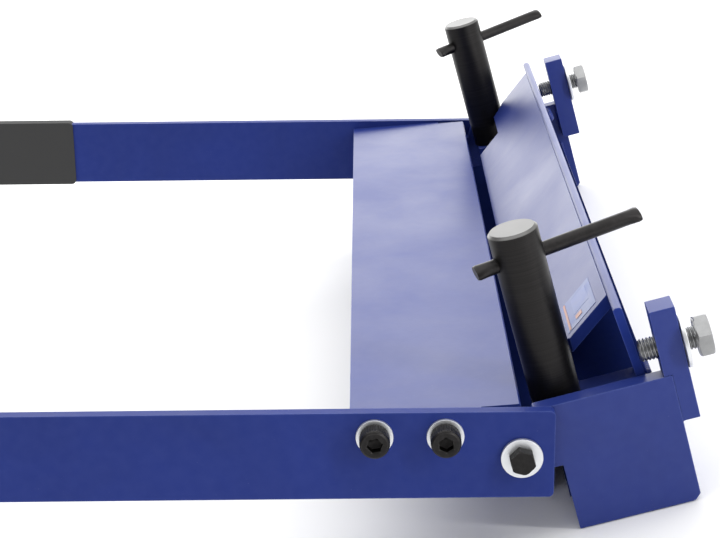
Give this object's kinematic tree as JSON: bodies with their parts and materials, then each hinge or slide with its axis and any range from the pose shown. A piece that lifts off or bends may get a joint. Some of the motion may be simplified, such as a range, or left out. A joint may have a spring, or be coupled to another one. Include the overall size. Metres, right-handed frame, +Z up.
{
  "type": "sheet metal bending brake",
  "caption": "Bench-top sheet metal folding brake: hinged leaf on two long bar arms, wedge clamp bar on tommy-bar posts, and rear adjuster bolts.",
  "frame": {"origin": "centre of the four bench bolt holes, on the underside of the base", "axes": "+X along the bend, +Y to the rear (the arms point to -Y), +Z up"},
  "size_m": [0.4954, 0.4668, 0.1635],
  "materials": {
    "paint_blue": "satin blue powder coat over steel",
    "black_oxide": "black oxide steel",
    "zinc_plate": "bright zinc plated steel",
    "spring_steel": "plain spring wire",
    "grip_rubber": "matt black rubber sleeve"
  },
  "bodies": {
    "base": {"end_plate_left": "paint_blue", "end_plate_right": "paint_blue", "bed_angle": "paint_blue", "rear_rail": "paint_blue", "foot_left": "paint_blue", "foot_right": "paint_blue", "boss_left": "paint_blue", "boss_right": "paint_blue", "lug_left": "paint_blue", "lug_right": "paint_blue", "pivot_bolts": "black_oxide", "pivot_washers": "zinc_plate", "lift_springs": "spring_steel"},
    "leaf": {"leaf_angle_plate": "paint_blue", "leaf_block_left": "paint_blue", "leaf_block_right": "paint_blue", "arm_left": "paint_blue", "arm_right": "paint_blue", "grip_left": "grip_rubber", "grip_right": "grip_rubber", "arm_screws": "black_oxide", "arm_washers": "zinc_plate"},
    "clamp": {"clamp_back_bar": "paint_blue", "clamp_nose_plate": "paint_blue", "clamp_ear_left": "paint_blue", "clamp_ear_right": "paint_blue", "spring_washers": "zinc_plate"},
    "post_left": {"clamp_post_left": "black_oxide"},
    "post_right": {"clamp_post_right": "black_oxide"},
    "tommy_left": {"tommy_bar_left": "black_oxide"},
    "tommy_right": {"tommy_bar_right": "black_oxide"},
    "adjuster_left_washer": {"adjuster_washer_left": "zinc_plate"},
    "adjuster_right_washer": {"adjuster_washer_right": "zinc_plate"},
    "adjuster_left_bolt": {"adjuster_bolt_left": "zinc_plate"},
    "adjuster_right_bolt": {"adjuster_bolt_right": "zinc_plate"}
  },
  "joints": [
    {"name": "leaf_swing", "type": "hinge", "parent": "base", "child": "leaf", "pos_m": [0, -0.043, 0.043], "axis": [-1, 0, 0], "range_deg": [-105, 11]},
    {"name": "clamp_slide", "type": "slide", "parent": "base", "child": "clamp", "axis": [0, 0, 1], "range_m": [-0.0147, 0], "deforming": ["lift_springs"]},
    {"name": "post_left_turn", "type": "hinge", "parent": "clamp", "child": "post_left", "pos_m": [-0.208, -0.0225, 0.1], "axis": [0, 0, 1], "range_deg": [-4235, 0]},
    {"name": "post_right_turn", "type": "hinge", "parent": "clamp", "child": "post_right", "pos_m": [0.208, -0.0225, 0.1], "axis": [0, 0, 1], "range_deg": [-4235, 0]},
    {"name": "tommy_left_slide", "type": "slide", "parent": "post_left", "child": "tommy_left", "axis": [-0.454, 0.891, 0], "range_m": [-0.036, 0.002]},
    {"name": "tommy_right_slide", "type": "slide", "parent": "post_right", "child": "tommy_right", "axis": [-0.2756, 0.9613, 0], "range_m": [-0.036, 0.002]},
    {"name": "adjuster_left_slide", "type": "slide", "parent": "base", "child": "adjuster_left_washer", "axis": [0, 1, 0], "range_m": [0, 0.006]},
    {"name": "adjuster_right_slide", "type": "slide", "parent": "base", "child": "adjuster_right_washer", "axis": [0, 1, 0], "range_m": [0, 0.006]},
    {"name": "adjuster_left_turn", "type": "hinge", "parent": "adjuster_left_washer", "child": "adjuster_left_bolt", "pos_m": [-0.2255, 0.03, 0.0715], "axis": [0, 1, 0], "range_deg": [0, 1441]},
    {"name": "adjuster_right_turn", "type": "hinge", "parent": "adjuster_right_washer", "child": "adjuster_right_bolt", "pos_m": [0.2255, 0.03, 0.0715], "axis": [0, 1, 0], "range_deg": [0, 1441]}
  ],
  "couplings": [
    {"joint": "post_left_turn", "follows": "clamp_slide", "rad_per_m": 5026.5},
    {"joint": "post_right_turn", "follows": "clamp_slide", "rad_per_m": 5026.5},
    {"joint": "adjuster_left_turn", "follows": "adjuster_left_slide", "rad_per_m": 4188.8},
    {"joint": "adjuster_right_turn", "follows": "adjuster_right_slide", "rad_per_m": 4188.8}
  ]
}
